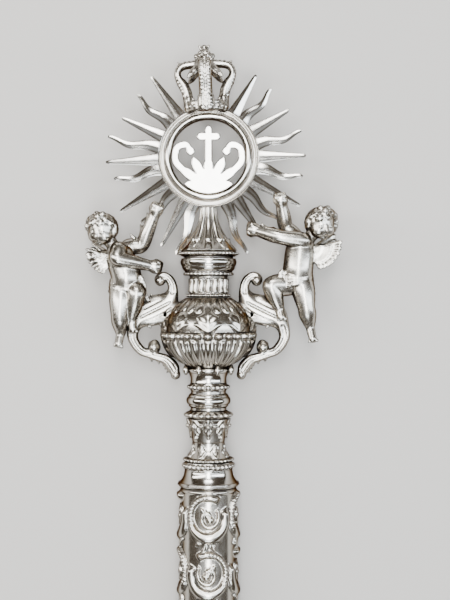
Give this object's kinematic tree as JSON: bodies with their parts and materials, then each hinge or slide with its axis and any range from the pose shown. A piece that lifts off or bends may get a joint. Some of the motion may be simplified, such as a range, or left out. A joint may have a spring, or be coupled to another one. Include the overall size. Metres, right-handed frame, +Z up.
{
  "type": "processional staff",
  "caption": "Silver processional staff with a crowned sunburst over a pierced emblem, two cherubs on scroll brackets, a gadrooned knop and a chased round shaft.",
  "frame": {"origin": "on the floor under the middle of the staff's length, with the staff lying on its back", "axes": "+Y along the staff from its foot to its crown, +Z up from the floor, the way the head's face points, +X to the right seen from above with the crown at the top"},
  "size_m": [0.1808, 1.3966, 0.0605],
  "materials": {
    "polished_silver": "polished",
    "cast_silver": "cast, burnished on its high places, dark in its hollows",
    "chased_silver": "chased in relief, dark in its hollows"
  },
  "bodies": {
    "root": {"crown": "cast_silver", "sunburst": "polished_silver", "pierced_emblem": "polished_silver", "bell": "chased_silver", "collar": "polished_silver", "fluted_neck": "chased_silver", "knop": "chased_silver", "bracket_left": "cast_silver", "bracket_right": "cast_silver", "cherub_left": "cast_silver", "cherub_right": "cast_silver", "knop_socket": "polished_silver", "ring_collar": "polished_silver", "baluster_stem": "chased_silver", "bead_collar": "polished_silver", "chased_tube": "chased_silver", "upper_joint_ring": "polished_silver", "middle_tube": "polished_silver", "lower_joint_ring": "polished_silver", "lower_tube": "polished_silver", "pommel": "polished_silver", "foot_tip": "polished_silver"}
  },
  "joints": []
}
